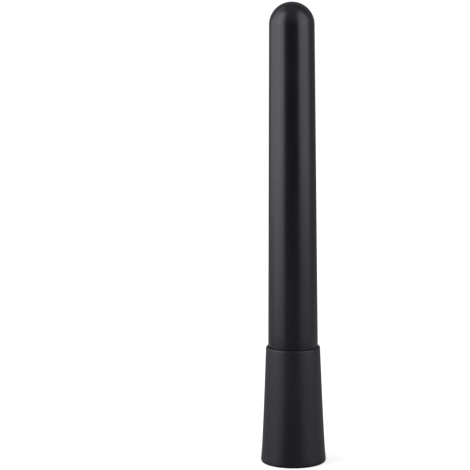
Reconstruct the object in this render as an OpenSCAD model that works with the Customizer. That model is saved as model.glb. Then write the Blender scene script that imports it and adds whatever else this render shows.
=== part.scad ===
// Short screw-on car mast aerial, in millimetres.
// A tapered sheath with a domed tip stands on a flared collar. Inside, a wound core is held by a
// threaded ferrule, which the collar grips by a hex head.
// The origin is the centre of the collar's foot, and +Z runs up the mast.

/* [Mast sheath] */
// Height of the whole aerial, from the foot of the collar to the tip
mast_h = 100; // [80:1:200]
// Diameter of the sheath where its domed tip begins
tip_d = 9.7; // [8.8:0.1:10.4]
// Diameter of the sheath where it meets the collar
seam_d = 10.8; // [10.4:0.1:12]
// Bevel round the sheath's lower edge, which shows as the seam line
seam_bevel = 0.25; // [0.05:0.05:0.3]
// Solid plastic between the core's end and the tip
tip_wall = 4.5; // [3:0.5:8]
// Depth of the pocket that centres the core's end
pocket_depth = 4; // [2:0.5:8]
// Radius that the bore loses from foot to top, so that the moulding core draws out
bore_draft = 0.15; // [0.05:0.05:0.25]
// Wall of the spigot that plugs into the collar
spigot_wall = 1.5; // [1.1:0.1:1.6]
// Number of glue grooves round the spigot
groove_count = 3; // [1:1:4]
// Height of each glue groove
groove_h = 0.8; // [0.4:0.1:1.2]
// Depth of each glue groove
groove_depth = 0.2; // [0.1:0.05:0.4]

/* [Collar] */
// Height of the collar, from its foot to the seam
collar_h = 25.6; // [24:0.2:34]
// Diameter of the collar's foot
foot_d = 14.2; // [13.6:0.05:16]
// How far the collar's shoulder stands out from the sheath
shoulder_w = 0.49; // [0.3:0.01:0.9]
// Rounding of the shoulder's outer edge
shoulder_round = 0.35; // [0.1:0.05:0.45]
// Share of the flare that is a plain cone
flare_cone = 0.8; // [0.6:0.01:0.9]
// Share of the flare that turns out sharply at the foot
flare_curl = 0.06; // [0:0.01:0.1]
// Rounding of the foot's outer edge
foot_round = 0.5; // [0.1:0.05:0.8]
// Bevel of the foot's inner edge
foot_bevel = 0.2; // [0.1:0.05:0.3]
// Wall of the skirt round the recess
skirt_wall = 1.1; // [0.9:0.1:1.4]
// Depth of the recess that drops over the car's aerial base
recess_depth = 6; // [5:0.5:8]
// Thickness of the web below the ferrule's hex head
web_t = 6.5; // [5:0.5:8]

/* [Ferrule] */
// Major diameter of the socket's thread
thread_d = 6; // [5:1:6]
// Pitch of the socket's thread
thread_pitch = 1; // [0.5:0.1:1.2]
// Depth of full thread from the ferrule's foot
thread_len = 9; // [6:0.5:11]
// Bevel at the mouth of the socket
mouth_bevel = 0.5; // [0.2:0.1:0.7]
// How far the ferrule's foot stands below the recess ceiling
ferrule_proud = 0.5; // [0.2:0.1:1]
// Wall of the barrel outside the thread
barrel_wall = 0.8; // [0.6:0.1:1]
// How far the flats of the hex head stand out from the barrel
hex_lip = 0.15; // [0.1:0.05:0.3]
// Height of the hex head
hex_h = 3; // [2:0.5:4]
// Metal left between the drill point and the core's cup
cup_floor = 1.2; // [0.8:0.1:2]
// Depth of the cup that holds the core rod
cup_depth = 6; // [4.5:0.5:9]
// Wall of the cup
cup_wall = 1.05; // [0.8:0.05:1.2]
// Length of the slot in the cup for the wire's tail
slot_len = 4; // [2:0.5:4.5]

/* [Core and winding] */
// Diameter of the core rod
rod_d = 3.5; // [3:0.1:3.8]
// Diameter of the copper wire
wire_d = 0.6; // [0.4:0.05:0.7]
// Turns in the close winding at the foot
close_turns = 10; // [4:1:14]
// Pitch of the close winding
close_pitch = 0.95; // [0.85:0.05:1.2]
// Pitch of the open winding above it
open_pitch = 3; // [2:0.1:5]
// Radius at which the tail bends into the first turn
tail_bend = 1.2; // [0.8:0.1:1.6]
// Wall of the shrunk sleeve over the winding
sleeve_wall = 0.4; // [0.25:0.05:0.5]
// How far the solder stands out from the cup
solder_proud = 0.1; // [0:0.05:0.15]

/* [Clearances] */
// Radial gap of glued and pressed fits
glue_gap = 0.05; // [0.02:0.01:0.08]
// Radial gap between the wound core and the sheath's bore
core_gap = 0.15; // [0.1:0.05:0.3]
// Gap at the ends of pieces that stop short
end_gap = 0.3; // [0.2:0.05:0.5]
// Gap between the wire and what lies against it
wire_gap = 0.02; // [0.01:0.01:0.05]

/* [Hidden] */
$fn = 96;

// Steps along curved outlines and round the wire
flare_steps = 20;
round_steps = 6;
turn_steps = 16;
bend_steps = 5;
wire_sides = 6;
// How far a cutting solid runs past the face that it opens
past = 1;

// Outer radii
tip_r = tip_d / 2;
seam_r = seam_d / 2;
shoulder_r = seam_r + shoulder_w;
foot_r = foot_d / 2;

// Levels of the collar and the ferrule, from the foot up
shoulder_z = collar_h - shoulder_round;
ferrule_z = recess_depth - ferrule_proud;
hex_z = recess_depth + web_t;
socket_z = hex_z + hex_h;
drill_r = (thread_d - thread_pitch) / 2;
drill_angle = 59;
thread_end_z = ferrule_z + thread_len;
drill_end_z = thread_end_z + drill_r / tan(drill_angle);
cup_z = drill_end_z + cup_floor;
neck_z = cup_z + cup_depth;
slot_z = neck_z - slot_len;

// Radii of the wound core, from the rod out
rod_r = rod_d / 2;
wire_r = wire_d / 2;
coil_r = (rod_r + wire_gap) / cos(180 / turn_steps) + wire_r;
sleeve_bore_r = coil_r + wire_r + wire_gap;
sleeve_r = sleeve_bore_r + sleeve_wall;

// Radii of the ferrule. The upper corners of its hex head are turned off at corner_angle.
hex_sides = 6;
corner_angle = 30;
barrel_r = thread_d / 2 + barrel_wall;
hex_flat_r = barrel_r + hex_lip;
hex_corner_r = hex_flat_r / cos(180 / hex_sides);
cup_r = rod_r + glue_gap;
neck_r = cup_r + cup_wall;
solder_w = wire_d + 2 * wire_gap;
slot_w = solder_w + 2 * wire_gap;

// Radii of the sheath's bore and spigot, and of the socket that takes it
bore_foot_r = max(neck_r + solder_proud, sleeve_r + bore_draft) + core_gap;
bore_top_r = bore_foot_r - bore_draft;
pocket_r = rod_r + glue_gap;
spigot_r = max(bore_foot_r + spigot_wall, hex_corner_r + glue_gap);
socket_r = spigot_r + glue_gap;

// Levels of the sheath and the core, from the tip down
pocket_end_z = mast_h - tip_wall;
pocket_z = pocket_end_z - pocket_depth;
bore_end_z = pocket_z - (bore_top_r - pocket_r);
spigot_z = socket_z + end_gap;
rod_end_z = pocket_end_z - end_gap;
sleeve_end_z = bore_end_z - end_gap;
coil_end_z = sleeve_end_z - wire_d;

// Outer radius of the collar's flare at height z: a cone, a bend and a curl at the foot
flare_bend = 1 - flare_cone - flare_curl;
function flare_r(z) =
    let (t = (shoulder_z - z) / (shoulder_z - foot_round))
    shoulder_r + (foot_r - shoulder_r)
        * (flare_cone * t + flare_bend * pow(t, 3) + flare_curl * pow(t, 12));

// Points of an arc of the given centre and radius, turning from angle a to angle b
function arc(centre_r, centre_z, radius, a, b) = [
    for (i = [0:round_steps])
        let (angle = a + (b - a) * i / round_steps)
        [centre_r + radius * cos(angle), centre_z + radius * sin(angle)]
];

// Outline of the collar: foot rounding, flare, then shoulder up to the seam
collar_outline = concat(
    [[0, 0]],
    arc(foot_r - foot_round, foot_round, foot_round, -90, 0),
    [for (i = [1:flare_steps - 1])
        let (z = foot_round + (shoulder_z - foot_round) * i / flare_steps)
        [flare_r(z), z]],
    arc(shoulder_r - shoulder_round, shoulder_z, shoulder_round, 0, 90),
    [[0, collar_h]]
);

// Route of the wire on its unrolled cylinder: [distance round, height]. The tail rises out of
// the slot, bends into the close winding, and the open winding takes the rest of the height.
turn_len = 2 * PI * coil_r;
tail_z = slot_z + wire_gap;
bend_z = neck_z + wire_d;
bend_angle = 90 - atan(close_pitch / turn_len);
close_u = tail_bend * (1 - cos(bend_angle));
close_z = bend_z + tail_bend * sin(bend_angle);
open_z = close_z + close_turns * close_pitch;
open_turns = (coil_end_z - open_z) / open_pitch;
open_steps = ceil(open_turns * turn_steps);
wire_route = concat(
    [[0, tail_z]],
    [for (i = [0:bend_steps])
        let (angle = bend_angle * i / bend_steps)
        [tail_bend * (1 - cos(angle)), bend_z + tail_bend * sin(angle)]],
    [for (i = [1:close_turns * turn_steps])
        [close_u + turn_len * i / turn_steps, close_z + close_pitch * i / turn_steps]],
    [for (i = [1:open_steps])
        let (turns = open_turns * i / open_steps)
        [close_u + turn_len * (close_turns + turns), open_z + open_pitch * turns]]
);

// Direction of the route at one of its points, as its slope from the horizontal
function route_slope(i) =
    let (
        before = wire_route[max(i - 1, 0)],
        after = wire_route[min(i + 1, len(wire_route) - 1)]
    )
    atan2(after[1] - before[1], after[0] - before[0]);

// One ring of the wire's surface, square to the route, in the cylinder's radial and tangent axes
function wire_ring(i) =
    let (
        turn = wire_route[i][0] / coil_r * 180 / PI,
        slope = route_slope(i),
        out = [cos(turn), sin(turn), 0],
        side = [sin(turn) * sin(slope), -cos(turn) * sin(slope), cos(slope)]
    )
    [for (k = [0:wire_sides - 1])
        let (angle = 360 * k / wire_sides)
        coil_r * out + [0, 0, wire_route[i][1]] + wire_r * (cos(angle) * out + sin(angle) * side)];

// Moulded sheath: domed and tapered outside, with a spigot, glue grooves and a drafted bore
module mast_sheath() {
    color("#2a282e")
    difference() {
        union() {
            translate([0, 0, mast_h - tip_r])
                sphere(r = tip_r);
            translate([0, 0, collar_h + seam_bevel])
                cylinder(h = mast_h - tip_r - collar_h - seam_bevel, r1 = seam_r, r2 = tip_r);
            translate([0, 0, collar_h])
                cylinder(h = seam_bevel, r1 = seam_r - seam_bevel, r2 = seam_r);
            translate([0, 0, spigot_z])
                cylinder(h = collar_h - spigot_z + seam_bevel, r = spigot_r);
        }
        sheath_bore();
        for (i = [1:groove_count])
            translate([0, 0, spigot_z + (collar_h - spigot_z) * i / (groove_count + 1)])
                glue_groove();
    }
}

// Bore of the sheath: drafted length, lead-in cone and the pocket for the core's end
module sheath_bore() {
    rotate_extrude()
        polygon([
            [0, spigot_z - past],
            [bore_foot_r, spigot_z - past],
            [bore_foot_r, spigot_z],
            [bore_top_r, bore_end_z],
            [pocket_r, pocket_z],
            [pocket_r, pocket_end_z],
            [0, pocket_end_z]
        ]);
}

// Ring cut that keeps glue between the spigot and its socket
module glue_groove() {
    translate([0, 0, -groove_h / 2])
        difference() {
            cylinder(h = groove_h, r = spigot_r + past);
            translate([0, 0, -past])
                cylinder(h = groove_h + 2 * past, r = spigot_r - groove_depth);
        }
}

// Moulded collar: flared skirt, recess below, web with a hex pocket, socket above
module base_collar() {
    color("#302f34")
    difference() {
        rotate_extrude()
            polygon(collar_outline);
        recess();
        translate([0, 0, recess_depth - past])
            cylinder(h = web_t + 2 * past, r = barrel_r + glue_gap);
        translate([0, 0, hex_z])
            cylinder(h = hex_h + past, r = hex_corner_r + glue_gap / cos(180 / hex_sides),
                $fn = hex_sides);
        translate([0, 0, socket_z])
            cylinder(h = collar_h - socket_z + past, r = socket_r);
    }
}

// Recess of the collar: it keeps the skirt's wall even, and its mouth is bevelled
module recess() {
    mouth_r = foot_r - skirt_wall;
    ceiling_r = flare_r(recess_depth) - skirt_wall;
    rotate_extrude()
        polygon([
            [0, -past],
            [mouth_r + foot_bevel, -past],
            [mouth_r + foot_bevel, 0],
            [mouth_r, foot_bevel],
            [ceiling_r, recess_depth],
            [0, recess_depth]
        ]);
}

// Turned ferrule: barrel, hex head and neck, with the socket below and the core's cup above
module threaded_ferrule() {
    color("#b8964f")
    difference() {
        union() {
            ferrule_barrel();
            hex_head();
            translate([0, 0, socket_z - past])
                cylinder(h = neck_z - socket_z + past, r = neck_r);
        }
        ferrule_socket();
        translate([0, 0, cup_z])
            cylinder(h = cup_depth + past, r = cup_r);
        translate([0, -slot_w / 2, slot_z])
            cube([neck_r + past, slot_w, slot_len + past]);
    }
}

// Barrel in the web, with a bevelled foot
module ferrule_barrel() {
    bevel = barrel_wall / 2;
    translate([0, 0, ferrule_z])
        cylinder(h = bevel, r1 = barrel_r - bevel, r2 = barrel_r);
    translate([0, 0, ferrule_z + bevel])
        cylinder(h = hex_z - ferrule_z - bevel + hex_h / 2, r = barrel_r);
}

// Hex head with its upper corners turned off
module hex_head() {
    drop = (hex_corner_r + past - hex_flat_r) * tan(corner_angle);
    intersection() {
        translate([0, 0, hex_z])
            cylinder(h = hex_h, r = hex_corner_r, $fn = hex_sides);
        union() {
            translate([0, 0, socket_z - drop])
                cylinder(h = drop, r1 = hex_corner_r + past, r2 = hex_flat_r);
            translate([0, 0, hex_z - past])
                cylinder(h = hex_h + past - drop, r = hex_corner_r + past);
        }
    }
}

// Tapped socket at the drill's size, with a bevelled mouth and the drill's point
module ferrule_socket() {
    rotate_extrude()
        polygon([
            [0, ferrule_z - past],
            [drill_r + mouth_bevel, ferrule_z - past],
            [drill_r + mouth_bevel, ferrule_z],
            [drill_r, ferrule_z + mouth_bevel],
            [drill_r, thread_end_z],
            [0, drill_end_z]
        ]);
}

// Glass-fibre rod from the ferrule's cup to the pocket in the tip
module core_rod() {
    color("#d9d6bf")
    translate([0, 0, cup_z])
        cylinder(h = rod_end_z - cup_z, r = rod_r);
}

// Copper winding, swept along its route
module aerial_coil() {
    last = len(wire_route) - 1;
    color("#b06a3c")
    polyhedron(
        points = [for (i = [0:last]) each wire_ring(i)],
        faces = concat(
            [[for (k = [0:wire_sides - 1]) k]],
            [for (i = [0:last - 1], k = [0:wire_sides - 1])
                let (
                    a = i * wire_sides + k,
                    b = i * wire_sides + (k + 1) % wire_sides,
                    c = a + wire_sides,
                    d = b + wire_sides
                )
                each [[b, a, c], [b, c, d]]],
            [[for (k = [wire_sides - 1:-1:0]) last * wire_sides + k]]
        )
    );
}

// Shrunk sleeve over the winding, seated on the end of the ferrule's neck
module coil_sleeve() {
    color("#1c1c1e")
    translate([0, 0, neck_z])
        difference() {
            cylinder(h = sleeve_end_z - neck_z, r = sleeve_r);
            translate([0, 0, -past])
                cylinder(h = sleeve_end_z - neck_z + 2 * past, r = sleeve_bore_r);
        }
}

// Solder that closes the slot over the wire's tail
module solder_joint() {
    color("#b9bcc0")
    intersection() {
        translate([0, -solder_w / 2, slot_z])
            cube([neck_r + past, solder_w, slot_len - end_gap]);
        translate([0, 0, slot_z - past])
            difference() {
                cylinder(h = slot_len + past, r = neck_r + solder_proud);
                translate([0, 0, -past])
                    cylinder(h = slot_len + 3 * past, r = coil_r + wire_r + wire_gap);
            }
    }
}

mast_sheath();
base_collar();
threaded_ferrule();
core_rod();
aerial_coil();
coil_sleeve();
solder_joint();
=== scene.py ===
"""Looks of the short car mast aerial: satin black sheath and collar, brass ferrule, wound core.

Every length is in metres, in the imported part's own frame: the foot of the collar stands on z = 0
and +Z runs up the mast.
"""
import math

import bmesh
import bpy
from mathutils import Matrix, Vector


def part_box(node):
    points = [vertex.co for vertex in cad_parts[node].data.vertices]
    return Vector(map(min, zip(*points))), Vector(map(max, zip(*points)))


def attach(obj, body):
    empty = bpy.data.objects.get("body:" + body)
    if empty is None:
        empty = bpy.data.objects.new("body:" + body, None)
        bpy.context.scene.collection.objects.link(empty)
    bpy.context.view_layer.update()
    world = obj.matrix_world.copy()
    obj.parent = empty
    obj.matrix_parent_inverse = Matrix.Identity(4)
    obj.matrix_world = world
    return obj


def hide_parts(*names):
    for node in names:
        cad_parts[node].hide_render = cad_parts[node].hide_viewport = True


MM = 0.001
TURN = 2 * math.pi

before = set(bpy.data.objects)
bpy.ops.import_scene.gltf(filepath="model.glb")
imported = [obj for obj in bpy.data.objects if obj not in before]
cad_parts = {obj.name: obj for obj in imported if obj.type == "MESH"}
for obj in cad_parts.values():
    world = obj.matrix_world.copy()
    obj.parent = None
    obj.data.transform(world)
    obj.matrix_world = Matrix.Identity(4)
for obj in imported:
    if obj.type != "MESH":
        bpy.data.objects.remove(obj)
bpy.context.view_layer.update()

# Places read from the frame
sheath_low, sheath_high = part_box("mast_sheath")
collar_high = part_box("base_collar")[1]
ferrule_low, ferrule_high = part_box("threaded_ferrule")
coil_low, coil_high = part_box("aerial_coil")
rod_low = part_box("core_rod")[0]

# Sheath: outer radii, spigot with its glue grooves, bore, and the blind pocket at its top
TIP_R = 4.85 * MM
SEAM_R = 5.4 * MM
SEAM_BEVEL = 0.1 * MM
SPIGOT_R = 4.625 * MM
GROOVES = 3
GROOVE_H = 0.8 * MM
GROOVE_DEPTH = 0.2 * MM
BORE_FOOT_R = 3.125 * MM
BORE_TOP_R = 2.975 * MM
POCKET_R = 1.8 * MM
POCKET_DEPTH = 4 * MM
TIP_WALL = 4.5 * MM
POCKET_END_Z = sheath_high.z - TIP_WALL
POCKET_Z = POCKET_END_Z - POCKET_DEPTH
BORE_END_Z = POCKET_Z - (BORE_TOP_R - POCKET_R)

# Collar: foot, shoulder, recess, web and socket. FLARE_CONE and FLARE_CURL are the cone's and
# the curl's shares of the flare.
FOOT_R = 7.1 * MM
SHOULDER_W = 0.49 * MM
SHOULDER_ROUND = 0.35 * MM
FLARE_CONE = 0.8
FLARE_CURL = 0.06
FOOT_ROUND = 0.5 * MM
FOOT_BEVEL = 0.2 * MM
SKIRT_WALL = 1.1 * MM
RECESS_DEPTH = 6 * MM
HEX_Z = 12.5 * MM
HEX_H = 3 * MM
GLUE_GAP = 0.05 * MM
SOCKET_R = SPIGOT_R + GLUE_GAP
COLLAR_TOP = collar_high.z
SHOULDER_Z = COLLAR_TOP - SHOULDER_ROUND
SHOULDER_R = SEAM_R + SHOULDER_W
SOCKET_Z = HEX_Z + HEX_H

# Ferrule: M6 x 1 socket, barrel, hex head, and the cup that holds the rod. The thread's flats
# are shares of its pitch.
THREAD_MINOR_R = 2.5 * MM
THREAD_MAJOR_R = 3.0 * MM
THREAD_PITCH = 1.0 * MM
THREAD_CREST = 0.25
THREAD_ROOT = 0.125
THREAD_DEPTH = 9 * MM
THREAD_END_Z = ferrule_low.z + THREAD_DEPTH
MOUTH_BEVEL = 0.5 * MM
DRILL_POINT_DEG = 118
DRILL_POINT = THREAD_MINOR_R / math.tan(math.radians(DRILL_POINT_DEG / 2))
BARREL_R = 3.8 * MM
BARREL_BEVEL = 0.4 * MM
HEX_FLAT_R = 3.95 * MM
HEX_CHAMFER_DEG = 30
CUP_R = 1.8 * MM
CUP_Z = rod_low.z
NECK_R = 2.85 * MM
SLOT_W = 0.68 * MM
SLOT_LEN = 4 * MM

# Winding: the same route as the solid's, with rounder wire
WIRE_R = 0.3 * MM
COIL_R = 2.105 * MM
CLOSE_TURNS = 10
CLOSE_PITCH = 0.95 * MM
OPEN_PITCH = 3 * MM
TAIL_BEND = 1.2 * MM
BEND_Z = ferrule_high.z + 2 * WIRE_R
COIL_END_Z = coil_high.z - WIRE_R

# Fineness: steps round a turned piece, and steps in a turn and sides of the wire
ROUND_STEPS = 240
WIRE_STEPS = 48
WIRE_SIDES = 12

# Helpers for meshes and outlines


def link(obj):
    """Puts an object into the scene."""
    bpy.context.scene.collection.objects.link(obj)
    return obj


def face_out(mesh):
    """Turns the faces of a closed mesh outwards."""
    work = bmesh.new()
    work.from_mesh(mesh)
    bmesh.ops.recalc_face_normals(work, faces=work.faces)
    work.to_mesh(mesh)
    work.free()


def mesh_piece(name, verts, faces, material, sharp_deg):
    """A smooth-shaded mesh object whose edges stay sharp where they turn by more than sharp_deg."""
    mesh = bpy.data.meshes.new(name)
    mesh.from_pydata(verts, [], faces)
    mesh.validate()
    face_out(mesh)
    mesh.shade_smooth()
    mesh.set_sharp_from_angle(angle=math.radians(sharp_deg))
    mesh.materials.append(material)
    return link(bpy.data.objects.new(name, mesh))


def lathe(name, outline, material, sharp_deg, steps=ROUND_STEPS, closed=False):
    """Turns an outline round Z. Each of its points is (radius, height), and either may be a
    function of the angle, as on a hex or a thread. An outline that isn't closed starts and ends
    on the axis."""
    verts, faces, rings = [], [], []
    for radius, height in outline:
        on_axis = not callable(radius) and radius < 1e-9
        ring = []
        for step in range(1 if on_axis else steps):
            angle = TURN * step / steps
            r = radius(angle) if callable(radius) else radius
            z = height(angle) if callable(height) else height
            ring.append(len(verts))
            verts.append((r * math.cos(angle), r * math.sin(angle), z))
        rings.append(ring)
    pairs = list(zip(rings, rings[1:]))
    if closed:
        pairs.append((rings[-1], rings[0]))
    for one, two in pairs:
        for step in range(steps):
            after = (step + 1) % steps
            if len(one) == 1:
                faces.append((one[0], two[step], two[after]))
            elif len(two) == 1:
                faces.append((one[step], two[0], one[after]))
            else:
                faces.append((one[step], two[step], two[after], one[after]))
    return mesh_piece(name, verts, faces, material, sharp_deg)


def arc(centre_r, centre_z, radius, start_deg, end_deg, steps):
    """Points of an arc in the outline's plane."""
    points = []
    for i in range(steps + 1):
        angle = math.radians(start_deg + (end_deg - start_deg) * i / steps)
        points.append((centre_r + radius * math.cos(angle), centre_z + radius * math.sin(angle)))
    return points


def hex_radius(flat_r):
    """Radius of a hexagon with its corners at multiples of 60 degrees, by angle."""
    def radius(angle):
        from_flat = (angle % (TURN / 6)) - TURN / 12
        return flat_r / math.cos(from_flat)
    return radius


def flare_r(z):
    """Outer radius of the collar at height z: a cone, a bend and a curl at the foot."""
    t = (SHOULDER_Z - z) / (SHOULDER_Z - FOOT_ROUND)
    bend = 1 - FLARE_CONE - FLARE_CURL
    share = FLARE_CONE * t + bend * t ** 3 + FLARE_CURL * t ** 12
    return SHOULDER_R + (FOOT_R - SHOULDER_R) * share


# Materials

NOISE_LOW = 0.3
NOISE_HIGH = 0.7


class Shader:
    """A material's node tree, with short ways to add and link its nodes."""

    def __init__(self, name):
        self.material = bpy.data.materials.new(name)
        self.material.use_nodes = True
        self.nodes = self.material.node_tree.nodes
        self.links = self.material.node_tree.links
        self.surface = self.nodes["Principled BSDF"]
        self.place = self.nodes.new("ShaderNodeTexCoord").outputs["Object"]

    def stretched(self, scale):
        node = self.nodes.new("ShaderNodeMapping")
        node.inputs["Scale"].default_value = scale
        self.links.new(self.place, node.inputs["Vector"])
        return node.outputs["Vector"]

    def noise(self, scale, detail=3.0, vector=None):
        node = self.nodes.new("ShaderNodeTexNoise")
        node.inputs["Scale"].default_value = scale
        node.inputs["Detail"].default_value = detail
        self.links.new(vector or self.place, node.inputs["Vector"])
        return node.outputs["Fac"]

    def spread(self, value, low, high):
        """Spreads the usual range of a noise over low to high."""
        node = self.nodes.new("ShaderNodeMapRange")
        node.inputs["From Min"].default_value = NOISE_LOW
        node.inputs["From Max"].default_value = NOISE_HIGH
        node.inputs["To Min"].default_value = low
        node.inputs["To Max"].default_value = high
        self.links.new(value, node.inputs["Value"])
        return node.outputs["Result"]

    def blend(self, value, one, two):
        node = self.nodes.new("ShaderNodeMix")
        node.data_type = "RGBA"
        node.inputs["A"].default_value = (*one, 1)
        node.inputs["B"].default_value = (*two, 1)
        self.links.new(value, node.inputs["Factor"])
        return node.outputs["Result"]

    def add(self, one, two, share):
        """one plus share of two, as a number."""
        node = self.nodes.new("ShaderNodeMath")
        node.operation = "MULTIPLY_ADD"
        node.inputs[1].default_value = share
        self.links.new(two, node.inputs[0])
        self.links.new(one, node.inputs[2])
        return node.outputs["Value"]

    def colour(self, value):
        self.links.new(value, self.surface.inputs["Base Color"])

    def roughness(self, value):
        self.links.new(value, self.surface.inputs["Roughness"])

    def bump(self, height, depth):
        node = self.nodes.new("ShaderNodeBump")
        node.inputs["Distance"].default_value = depth
        self.links.new(height, node.inputs["Height"])
        self.links.new(node.outputs["Normal"], self.surface.inputs["Normal"])


def moulded_plastic(name, dark, light, rough, grain, grain_depth):
    """Black moulded plastic: fine spark-eroded grain, and faint variation in tone and gloss."""
    s = Shader(name)
    patches = s.noise(260, detail=2.0, vector=s.stretched((1, 1, 0.35)))
    s.colour(s.blend(s.spread(patches, 0, 1), dark, light))
    speckle = s.noise(grain, detail=4.0)
    s.surface.inputs["Specular Tint"].default_value = (0.95, 0.91, 1, 1)
    gloss = s.add(s.spread(patches, rough - 0.02, rough + 0.02), speckle, 0.03)
    s.roughness(gloss)
    s.bump(speckle, grain_depth)
    return s.material


def turned_brass(name):
    """Brass off the lathe: rings of tool marks round the axis, and a light tarnish."""
    s = Shader(name)
    s.surface.inputs["Metallic"].default_value = 1
    tarnish = s.noise(500, detail=4.0)
    s.colour(s.blend(s.spread(tarnish, 0, 1), (0.78, 0.56, 0.25), (0.60, 0.40, 0.17)))
    rings = s.nodes.new("ShaderNodeTexWave")
    rings.wave_type = "RINGS"
    rings.rings_direction = "Z"
    rings.inputs["Scale"].default_value = 2600
    rings.inputs["Distortion"].default_value = 0.6
    s.links.new(s.place, rings.inputs["Vector"])
    s.roughness(s.add(s.spread(tarnish, 0.2, 0.34), rings.outputs["Fac"], 0.06))
    s.bump(rings.outputs["Fac"], 0.004 * MM)
    return s.material


def enamelled_copper(name):
    """Drawn copper wire under clear enamel."""
    s = Shader(name)
    s.surface.inputs["Metallic"].default_value = 1
    s.surface.inputs["Coat Weight"].default_value = 0.5
    s.surface.inputs["Coat Roughness"].default_value = 0.1
    drawn = s.noise(700)
    s.colour(s.blend(s.spread(drawn, 0, 1), (0.66, 0.27, 0.12), (0.52, 0.18, 0.07)))
    s.roughness(s.spread(drawn, 0.22, 0.34))
    s.bump(drawn, 0.003 * MM)
    return s.material


def glass_fibre(name):
    """Resin rod with its glass strands running along it."""
    s = Shader(name)
    strands = s.noise(2400, vector=s.stretched((1, 1, 0.02)))
    s.colour(s.blend(s.spread(strands, 0, 1), (0.60, 0.58, 0.42), (0.74, 0.72, 0.60)))
    s.roughness(s.spread(strands, 0.3, 0.45))
    s.bump(strands, 0.01 * MM)
    return s.material


def shrink_tube(name):
    """Black heat-shrink tube, faintly wrinkled round the rod."""
    s = Shader(name)
    wrinkles = s.noise(900, vector=s.stretched((1, 1, 2.2)))
    s.colour(s.blend(s.spread(wrinkles, 0, 1), (0.014, 0.014, 0.015), (0.024, 0.024, 0.026)))
    s.roughness(s.spread(wrinkles, 0.38, 0.52))
    s.bump(wrinkles, 0.02 * MM)
    return s.material


def tin_solder(name):
    """Dull solder with a frosted skin."""
    s = Shader(name)
    s.surface.inputs["Metallic"].default_value = 1
    frosting = s.noise(2200, detail=4.0)
    s.colour(s.blend(s.spread(frosting, 0, 1), (0.62, 0.63, 0.65), (0.42, 0.43, 0.46)))
    s.roughness(s.spread(frosting, 0.25, 0.5))
    s.bump(frosting, 0.02 * MM)
    return s.material


SHEATH_PLASTIC = moulded_plastic(
    "sheath_plastic", dark=(0.0058, 0.0049, 0.0080), light=(0.0076, 0.0066, 0.0102), rough=0.27,
    grain=7000, grain_depth=0.0015 * MM)
COLLAR_PLASTIC = moulded_plastic(
    "collar_plastic", dark=(0.0068, 0.0063, 0.0102), light=(0.0090, 0.0084, 0.0126), rough=0.36,
    grain=5000, grain_depth=0.003 * MM)
BRASS = turned_brass("turned_brass")

# Outlines of the turned pieces, and the winding


def sheath_outline():
    """From the tip down the outside, round the spigot and up the bore to the pocket's end."""
    dome_z = sheath_high.z - TIP_R
    points = arc(0, dome_z, TIP_R, 90, 0, steps=40)
    points[0] = (0, sheath_high.z)
    wall_foot_z = COLLAR_TOP + SEAM_BEVEL
    wall_steps = 24
    for i in range(1, wall_steps + 1):
        t = i / wall_steps
        points.append((TIP_R + (SEAM_R - TIP_R) * t, dome_z + (wall_foot_z - dome_z) * t))
    points += arc(SEAM_R - SEAM_BEVEL, wall_foot_z, SEAM_BEVEL, 0, -90, steps=6)[1:]
    points.append((SPIGOT_R, COLLAR_TOP))
    spigot_len = COLLAR_TOP - sheath_low.z
    groove_r = SPIGOT_R - GROOVE_DEPTH
    for i in range(GROOVES, 0, -1):
        centre = sheath_low.z + spigot_len * i / (GROOVES + 1)
        top, bottom = centre + GROOVE_H / 2, centre - GROOVE_H / 2
        points += [(SPIGOT_R, top), (groove_r, top), (groove_r, bottom), (SPIGOT_R, bottom)]
    points += [(SPIGOT_R, sheath_low.z), (BORE_FOOT_R, sheath_low.z), (BORE_TOP_R, BORE_END_Z),
               (POCKET_R, POCKET_Z), (POCKET_R, POCKET_END_Z), (0, POCKET_END_Z)]
    return points


def collar_outline():
    """From the foot's inner edge up the outside, over the shoulder, down the socket and web."""
    mouth_r = FOOT_R - SKIRT_WALL
    ceiling_r = flare_r(RECESS_DEPTH) - SKIRT_WALL
    bore_r = BARREL_R + GLUE_GAP
    pocket = hex_radius(HEX_FLAT_R + GLUE_GAP)
    points = [(mouth_r, FOOT_BEVEL), (mouth_r + FOOT_BEVEL, 0)]
    points += arc(FOOT_R - FOOT_ROUND, FOOT_ROUND, FOOT_ROUND, -90, 0, steps=8)
    flare_steps = 48
    for i in range(1, flare_steps):
        z = FOOT_ROUND + (SHOULDER_Z - FOOT_ROUND) * i / flare_steps
        points.append((flare_r(z), z))
    points += arc(SHOULDER_R - SHOULDER_ROUND, SHOULDER_Z, SHOULDER_ROUND, 0, 90, steps=10)
    points += [(SOCKET_R, COLLAR_TOP), (SOCKET_R, SOCKET_Z), (pocket, SOCKET_Z), (pocket, HEX_Z),
               (bore_r, HEX_Z), (bore_r, RECESS_DEPTH), (ceiling_r, RECESS_DEPTH)]
    return points


def thread_radius(z):
    """Radius of the tapped wall at height z, by angle: a right-hand 60 degree thread that runs
    out before the drill's point and opens into the bevelled mouth."""
    cone = THREAD_MINOR_R + MOUTH_BEVEL - (z - ferrule_low.z)
    fade = min(1.0, max(0.0, (THREAD_END_Z - z) / THREAD_PITCH))
    flank = 1 - THREAD_CREST - THREAD_ROOT

    def radius(angle):
        p = (z / THREAD_PITCH - angle / TURN) % 1.0
        rise = min(1.0, max(0.0, (abs(2 * p - 1) - THREAD_CREST) / flank))
        tapped = THREAD_MINOR_R + (THREAD_MAJOR_R - THREAD_MINOR_R) * rise * fade
        return max(tapped, cone)
    return radius


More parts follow.
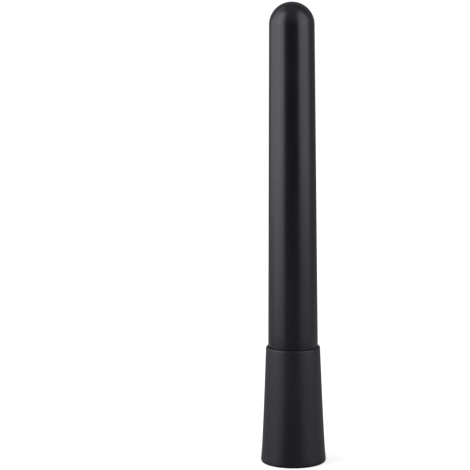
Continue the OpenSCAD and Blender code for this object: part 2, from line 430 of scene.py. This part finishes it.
def ferrule_outline():
    """From the drill's point down the thread, up the barrel and hex head to the cup's floor."""
    hexagon = hex_radius(HEX_FLAT_R)
    slope = math.tan(math.radians(HEX_CHAMFER_DEG))

    def chamfer_z(angle):
        return SOCKET_Z - (hexagon(angle) - HEX_FLAT_R) * slope

    points = [(0, THREAD_END_Z + DRILL_POINT), (THREAD_MINOR_R, THREAD_END_Z)]
    rows_per_turn = 14
    rows = round((THREAD_END_Z - ferrule_low.z) / THREAD_PITCH * rows_per_turn)
    for i in range(1, rows + 1):
        z = THREAD_END_Z + (ferrule_low.z - THREAD_END_Z) * i / rows
        points.append((thread_radius(z), z))
    points += [(BARREL_R - BARREL_BEVEL, ferrule_low.z), (BARREL_R, ferrule_low.z + BARREL_BEVEL),
               (BARREL_R, HEX_Z), (hexagon, HEX_Z), (hexagon, chamfer_z), (HEX_FLAT_R, SOCKET_Z),
               (NECK_R, SOCKET_Z), (NECK_R, ferrule_high.z), (CUP_R, ferrule_high.z),
               (CUP_R, CUP_Z), (0, CUP_Z)]
    return points


def cut_tail_slot(ferrule):
    """Mills the slot for the wire's tail through one side of the cup."""
    past = 1 * MM
    low = Vector((0, -SLOT_W / 2, ferrule_high.z - SLOT_LEN))
    high = Vector((NECK_R + past, SLOT_W / 2, ferrule_high.z + past))
    mesh = bpy.data.meshes.new("slot_cutter")
    corners = [(x, y, z) for x in (low.x, high.x) for y in (low.y, high.y) for z in (low.z, high.z)]
    mesh.from_pydata(corners, [], [(0, 1, 3, 2), (4, 6, 7, 5), (0, 4, 5, 1), (2, 3, 7, 6),
                                   (0, 2, 6, 4), (1, 5, 7, 3)])
    cutter = link(bpy.data.objects.new("slot_cutter", mesh))
    cut = ferrule.modifiers.new("slot", "BOOLEAN")
    cut.operation = "DIFFERENCE"
    cut.solver = "EXACT"
    cut.object = cutter
    bpy.context.view_layer.update()
    graph = bpy.context.evaluated_depsgraph_get()
    done = bpy.data.meshes.new_from_object(ferrule.evaluated_get(graph))
    ferrule.modifiers.clear()
    ferrule.data = done
    bpy.data.objects.remove(cutter)


def wire_route():
    """Points (distance round, height) of the wire on its unrolled cylinder, from the tail up."""
    turn_len = TURN * COIL_R
    slope = math.atan(CLOSE_PITCH / turn_len)
    bend = math.pi / 2 - slope
    route = [(0, coil_low.z)]
    bend_steps = 12
    for i in range(bend_steps + 1):
        angle = bend * i / bend_steps
        route.append((TAIL_BEND * (1 - math.cos(angle)), BEND_Z + TAIL_BEND * math.sin(angle)))
    start_u, start_z = route[-1]
    for i in range(1, CLOSE_TURNS * WIRE_STEPS + 1):
        turns = i / WIRE_STEPS
        route.append((start_u + turn_len * turns, start_z + CLOSE_PITCH * turns))
    start_u, start_z = route[-1]
    open_turns = (COIL_END_Z - start_z) / OPEN_PITCH
    open_steps = math.ceil(open_turns * WIRE_STEPS)
    for i in range(1, open_steps + 1):
        turns = open_turns * i / open_steps
        route.append((start_u + turn_len * turns, start_z + OPEN_PITCH * turns))
    return route


def winding(name, material):
    """Round wire swept along its route, with each ring square to the wire."""
    route = wire_route()
    verts, faces = [], []
    for i, (u, z) in enumerate(route):
        before, after = route[max(i - 1, 0)], route[min(i + 1, len(route) - 1)]
        slope = math.atan2(after[1] - before[1], after[0] - before[0])
        angle = u / COIL_R
        out = Vector((math.cos(angle), math.sin(angle), 0))
        side = Vector((math.sin(angle) * math.sin(slope), -math.cos(angle) * math.sin(slope),
                       math.cos(slope)))
        centre = COIL_R * out + Vector((0, 0, z))
        for k in range(WIRE_SIDES):
            a = TURN * k / WIRE_SIDES
            verts.append(centre + WIRE_R * (math.cos(a) * out + math.sin(a) * side))
    for i in range(len(route) - 1):
        for k in range(WIRE_SIDES):
            a, b = i * WIRE_SIDES + k, i * WIRE_SIDES + (k + 1) % WIRE_SIDES
            faces.append((b, a, a + WIRE_SIDES, b + WIRE_SIDES))
    faces.append(tuple(range(WIRE_SIDES)))
    faces.append(tuple(range(len(verts) - 1, len(verts) - 1 - WIRE_SIDES, -1)))
    return mesh_piece(name, verts, faces, material, sharp_deg=50)


# Pieces


def dress(piece, node):
    """The piece rides on the one body, and stands for a CAD node."""
    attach(piece, "root")
    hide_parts(node)


sheath = lathe("sheath", sheath_outline(), SHEATH_PLASTIC, sharp_deg=50)
dress(sheath, "mast_sheath")

collar = lathe("collar", collar_outline(), COLLAR_PLASTIC, closed=True, sharp_deg=40)
dress(collar, "base_collar")

ferrule = lathe("ferrule", ferrule_outline(), BRASS, steps=120, sharp_deg=25)
cut_tail_slot(ferrule)
dress(ferrule, "threaded_ferrule")

coil = winding("winding", enamelled_copper("enamelled_copper"))
dress(coil, "aerial_coil")

# These CAD nodes have the right shape and take a better material
for node, material in (("core_rod", glass_fibre("glass_fibre")),
                       ("coil_sleeve", shrink_tube("shrink_tube")),
                       ("solder_joint", tin_solder("tin_solder"))):
    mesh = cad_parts[node].data
    mesh.materials.clear()
    mesh.materials.append(material)

# Stage, lamps and camera

FLOOR_HALF = 4.0
CEILING_Z = 1.2
BOX_DISTANCE = 0.3
CARD_LIFT = 0.02 * MM


def flat(name, corners, faces, material):
    """A flat-shaded mesh of the stage, which isn't part of the object."""
    mesh = bpy.data.meshes.new(name)
    mesh.from_pydata(corners, [], faces)
    mesh.materials.append(material)
    obj = link(bpy.data.objects.new(name, mesh))
    return obj


def seen_rays(nodes, links):
    """1 for what the camera, mirrors and glass see, and 0 for light that only falls on things."""
    path = nodes.new("ShaderNodeLightPath")
    either = nodes.new("ShaderNodeMath")
    either.operation = "MAXIMUM"
    links.new(path.outputs["Is Camera Ray"], either.inputs[0])
    links.new(path.outputs["Is Glossy Ray"], either.inputs[1])
    any_of = nodes.new("ShaderNodeMath")
    any_of.operation = "MAXIMUM"
    links.new(either.outputs[0], any_of.inputs[0])
    links.new(path.outputs["Is Transmission Ray"], any_of.inputs[1])
    return any_of.outputs[0]


def pale_floor(name, shade, near_lift, far_lift):
    """Pale matte floor that keeps shadows, lifted to white where it is seen. Away from the lamps
    it takes more lift to stay as white."""
    material = bpy.data.materials.new(name)
    material.use_nodes = True
    nodes, links = material.node_tree.nodes, material.node_tree.links
    nodes.clear()
    matte = nodes.new("ShaderNodeBsdfDiffuse")
    matte.inputs["Color"].default_value = (shade, shade, shade, 1)
    reach = nodes.new("ShaderNodeVectorMath")
    reach.operation = "LENGTH"
    links.new(nodes.new("ShaderNodeTexCoord").outputs["Object"], reach.inputs[0])
    lift = nodes.new("ShaderNodeMapRange")
    near, far = 0.4 * BOX_DISTANCE, BOX_DISTANCE
    lift.inputs["From Min"].default_value = near
    lift.inputs["From Max"].default_value = far
    lift.inputs["To Min"].default_value = near_lift
    lift.inputs["To Max"].default_value = far_lift
    links.new(reach.outputs["Value"], lift.inputs["Value"])
    strength = nodes.new("ShaderNodeMath")
    strength.operation = "MULTIPLY"
    links.new(lift.outputs["Result"], strength.inputs[1])
    links.new(seen_rays(nodes, links), strength.inputs[0])
    glow = nodes.new("ShaderNodeEmission")
    links.new(strength.outputs[0], glow.inputs["Strength"])
    both = nodes.new("ShaderNodeAddShader")
    links.new(matte.outputs[0], both.inputs[0])
    links.new(glow.outputs[0], both.inputs[1])
    links.new(both.outputs[0], nodes.new("ShaderNodeOutputMaterial").inputs["Surface"])
    return material


def card(name, corners, faces, shade):
    """A matte card, dark or pale, of the kind that photographers set round a shiny thing: it
    shows in reflections alone, and throws no shadow."""
    material = bpy.data.materials.new(name)
    material.use_nodes = True
    surface = material.node_tree.nodes["Principled BSDF"]
    surface.inputs["Base Color"].default_value = (shade, shade, shade, 1)
    surface.inputs["Roughness"].default_value = 1
    surface.inputs["Specular IOR Level"].default_value = 0
    obj = flat(name, corners, faces, material)
    obj.visible_camera = False
    obj.visible_diffuse = False
    obj.visible_shadow = False


def ring_card(name, start, end, near, far, height, shade, base=CARD_LIFT):
    """A flat card between two azimuths and two distances, on the floor or at the height base. At
    its far edge it stands up by the given height. Azimuths turn from the front (-Y) to the
    right (+X)."""
    step_deg = 5
    steps = max(2, round(abs(end - start) / step_deg))
    corners, faces = [], []
    for i in range(steps + 1):
        turn = math.radians(start + (end - start) * i / steps)
        for reach, z in ((near, base), (far, base), (far, base + height)):
            corners.append((reach * math.sin(turn), -reach * math.cos(turn), z))
    for i in range(steps):
        a, b = 3 * i, 3 * i + 3
        faces.append((a, a + 1, b + 1, b))
        if height:
            faces.append((a + 1, a + 2, b + 2, b + 1))
    card(name, corners, faces, shade)


def soft_world(room):
    """White where it is seen, and a dim plain room for the light that it gives."""
    world = bpy.data.worlds.new("studio")
    bpy.context.scene.world = world
    world.use_nodes = True
    nodes, links = world.node_tree.nodes, world.node_tree.links
    shade = nodes["Background"]
    shade.inputs["Color"].default_value = (room, room, room, 1)
    white = nodes.new("ShaderNodeBackground")
    white.inputs["Color"].default_value = (1, 1, 1, 1)
    mix = nodes.new("ShaderNodeMixShader")
    links.new(seen_rays(nodes, links), mix.inputs["Fac"])
    links.new(shade.outputs[0], mix.inputs[1])
    links.new(white.outputs[0], mix.inputs[2])
    links.new(mix.outputs[0], nodes["World Output"].inputs["Surface"])


def soft_box(name, azimuth, lean, width, low, high, brightness):
    """A rectangular lamp on end that faces the aerial from BOX_DISTANCE away. Its azimuth turns
    from the front (-Y) to the right (+X), and its lean, in degrees, takes its top the same way
    round. brightness is how bright its face is, with white as 1."""
    turn, lean = math.radians(azimuth), math.radians(lean)
    length = (high - low) / math.cos(lean)
    data = bpy.data.lights.new(name, "AREA")
    data.shape = "RECTANGLE"
    data.size = width
    data.size_y = length
    data.energy = brightness * math.pi * width * length
    lamp = link(bpy.data.objects.new(name, data))
    facing = Matrix.Rotation(turn, 4, "Z") @ Matrix.Rotation(math.pi / 2, 4, "X")
    foot = Vector((BOX_DISTANCE * math.sin(turn), -BOX_DISTANCE * math.cos(turn), low))
    lamp.matrix_world = (Matrix.Translation(foot) @ facing @ Matrix.Rotation(-lean, 4, "Z")
                         @ Matrix.Translation(Vector((0, length / 2, 0))))
    lamp.visible_camera = False


def oval_box(name, azimuth, rise, width, height, brightness):
    """An oval lamp that faces the aerial's tip from BOX_DISTANCE away, at an azimuth and a rise in
    degrees."""
    turn, rise = math.radians(azimuth), math.radians(rise)
    way = Vector((math.cos(rise) * math.sin(turn), -math.cos(rise) * math.cos(turn),
                  math.sin(rise)))
    data = bpy.data.lights.new(name, "AREA")
    data.shape = "ELLIPSE"
    data.size = width
    data.size_y = height
    data.energy = brightness * math.pi * math.pi / 4 * width * height
    lamp = link(bpy.data.objects.new(name, data))
    place = Vector((0, 0, sheath_high.z)) + BOX_DISTANCE * way
    facing = way.to_track_quat("Z", "Y").to_matrix().to_4x4()
    lamp.matrix_world = Matrix.Translation(place) @ facing
    lamp.visible_camera = False


def camera():
    """The photograph's view: from a little above, with the aerial right of the middle."""
    data = bpy.data.cameras.new("camera")
    data.sensor_width = 36
    data.lens = 161.88
    data.clip_start = 0.01
    data.clip_end = 20
    cam = link(bpy.data.objects.new("camera", data))
    place = Vector((-12.41, -450, 118.94)) * MM
    pitch = math.radians(8.702)
    roll = math.radians(-0.45)
    cam.matrix_world = (Matrix.Translation(place)
                        @ Matrix.Rotation(math.pi / 2 - pitch, 4, "X")
                        @ Matrix.Rotation(roll, 4, "Z"))
    bpy.context.scene.camera = cam


SQUARE = [(-FLOOR_HALF, -FLOOR_HALF), (FLOOR_HALF, -FLOOR_HALF), (FLOOR_HALF, FLOOR_HALF),
          (-FLOOR_HALF, FLOOR_HALF)]
flat("floor", [(x, y, 0) for x, y in SQUARE], [(0, 1, 2, 3)],
     pale_floor("pale_floor", shade=0.9, near_lift=0.45, far_lift=0.65))
card("ceiling_card", [(x, y, CEILING_Z) for x, y in SQUARE], [(0, 1, 2, 3)], shade=0.6)

# Cards: start and end azimuth, near and far distance, height at the far edge, and shade
ring_card("back_ceiling_card", 105, 222, 0.5, 1.7, 0, 0.45, base=CEILING_Z - 0.01)
ring_card("front_card", -42, 33, 0.25, 0.6, 0.37, 0.04)
ring_card("mid_front_card", -42, 33, 0.1, 0.25, 0, 0.28)
ring_card("near_front_card", -42, 33, 0.005, 0.1, 0, 0.12)
ring_card("back_card", 128, 228, 0.005, 0.6, 0.3, 0.3)
ring_card("left_card", -98, -42, 0.005, 0.2, 0, 0.47)
ring_card("left_back_card", -132, -98, 0.005, 0.4, 0, 0.35)
ring_card("right_card", 33, 95, 0.005, 0.1, 0, 0.33)
ring_card("right_far_card", 33, 95, 0.1, 0.4, 0, 0.48)
ring_card("right_back_card", 95, 128, 0.005, 0.6, 0.3, 0.42)
# A black ring of card round the foot, seen in reflections alone: painted shade that stands in for
# the contact shadow and darkens the foot's lowest edge
ring_card("painted_contact_shadow_card", -132, 128, 0.005, 0.0076, 0, 0, base=1.5 * CARD_LIFT)

soft_world(room=0.45)

# Lamps on end: azimuth, lean, width, lower and upper end, and brightness
soft_box("left_box", -63, -6, 0.25, 0.024, 0.64, 1.82)
soft_box("left_side_box", -96, -20, 0.13, 0.02, 0.8, 0.88)
soft_box("right_box", 56, 8, 0.26, 0.024, 0.75, 1.0)

# Oval lamps: azimuth, rise, width, height and brightness
oval_box("left_oval_box", -78, 28, 0.36, 0.24, 0.95)
oval_box("right_oval_box", 62, 26, 0.42, 0.24, 0.8)

camera()

bpy.context.scene.view_settings.view_transform = "Standard"
